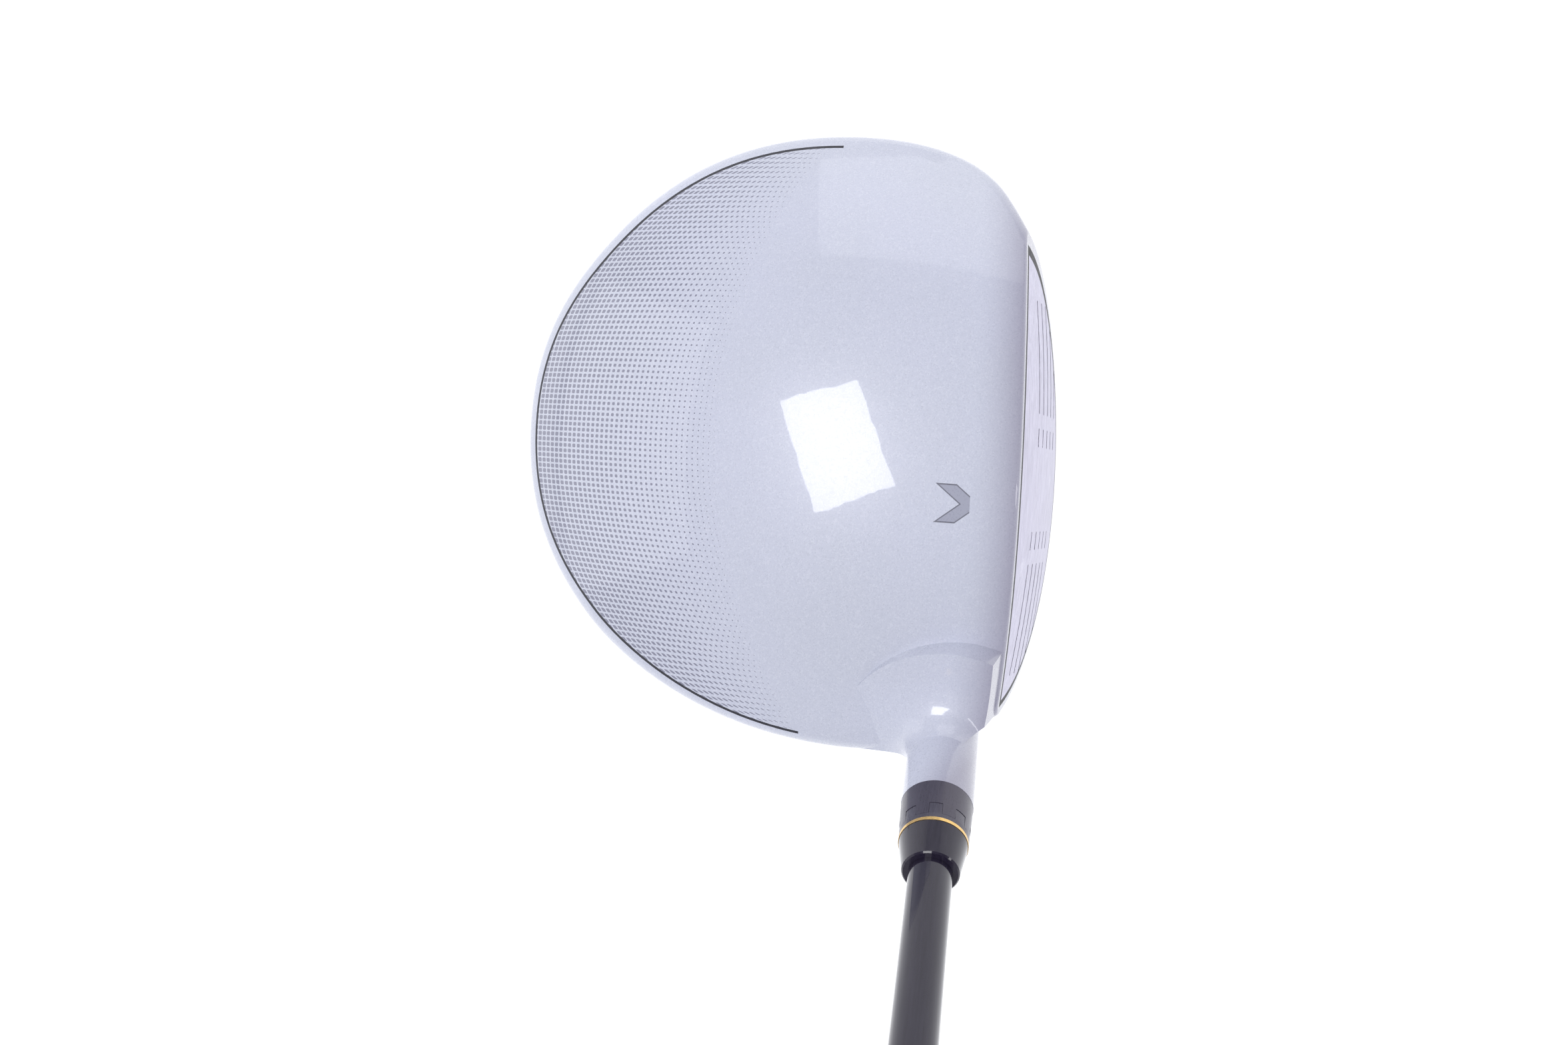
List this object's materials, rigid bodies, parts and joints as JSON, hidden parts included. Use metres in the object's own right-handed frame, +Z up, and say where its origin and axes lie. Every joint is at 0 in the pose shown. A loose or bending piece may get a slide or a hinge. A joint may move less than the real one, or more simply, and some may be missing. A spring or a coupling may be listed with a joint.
{
  "type": "golf driver",
  "caption": "Left-handed golf driver: white hollow metal head with a dotted pearl crown, castellated adjustable hosel, tapered black shaft and rubber grip",
  "frame": {"origin": "Centre of the small flat contact pad on the sole, on the ground the club is soled on", "axes": "+X towards the toe, +Y towards the back of the head so the face looks along -Y, +Z up; the shaft rises towards -X at the lie angle of 59 degrees"},
  "size_m": [0.712, 0.1194, 1.0027],
  "materials": {
    "body_paint": "gloss white paint on cast titanium",
    "crown_paint": "pearl white with fine flake and a fading grey dot print",
    "seam_line": "dark satin",
    "face_metal": "brushed heel to toe",
    "border_paint": "black paint fill",
    "badge_metal": "plain satin black anodised",
    "collar_black": "satin black",
    "adapter_black": "satin black anodised",
    "trim_gold": "gold anodised",
    "ferrule_black": "polished black",
    "shaft_black": "gloss black lacquer over carbon fibre",
    "tip_brass": "plain turned brass",
    "tape": "pale paper tape",
    "grip_rubber": "matt black rubber with a fine pattern",
    "cap_rubber": "smooth matt black",
    "screw_steel": "dark plated steel",
    "clip_plastic": "plain nylon",
    "washer_steel": "plain steel",
    "weight_steel": "satin steel",
    "weight_screw_steel": "dark plated steel"
  },
  "bodies": {
    "shaft_unit": {"shaft_adapter": "adapter_black", "trim_ring": "trim_gold", "ferrule": "ferrule_black", "shaft": "shaft_black", "tip_weight": "tip_brass", "grip_tape": "tape", "grip": "grip_rubber", "grip_cap": "cap_rubber"},
    "head": {"head_body": "body_paint", "crown_panel": "crown_paint", "crown_seam": "seam_line", "face_insert": "face_metal", "face_border": "border_paint", "sole_badge": "badge_metal", "hosel_collar": "collar_black", "screw_washer": "washer_steel"},
    "hosel_bolt": {"hosel_screw": "screw_steel", "screw_clip": "clip_plastic"},
    "weight": {"sole_weight": "weight_steel"},
    "weight_bolt": {"weight_screw": "weight_screw_steel"}
  },
  "joints": [
    {"name": "head_release", "type": "slide", "parent": "shaft_unit", "child": "head", "axis": [0.515, 0, -0.8572], "range_m": [0, 0.01]},
    {"name": "hosel_screw_turn", "type": "hinge", "parent": "head", "child": "hosel_bolt", "pos_m": [-0.04545, -0.032, 0.02571], "axis": [0.515, 0, -0.8572], "range_deg": [0, 4500]},
    {"name": "weight_out", "type": "slide", "parent": "head", "child": "weight", "axis": [0.0369, 0.3863, -0.9216], "range_m": [0, 0.008]},
    {"name": "weight_screw_turn", "type": "hinge", "parent": "weight", "child": "weight_bolt", "pos_m": [0.005, 0.044, 0.00799], "axis": [0.0369, 0.3863, -0.9216], "range_deg": [0, 3600]}
  ],
  "couplings": [
    {"joint": "hosel_screw_turn", "follows": "head_release", "rad_per_m": 7854},
    {"joint": "weight_screw_turn", "follows": "weight_out", "rad_per_m": 7854}
  ]
}
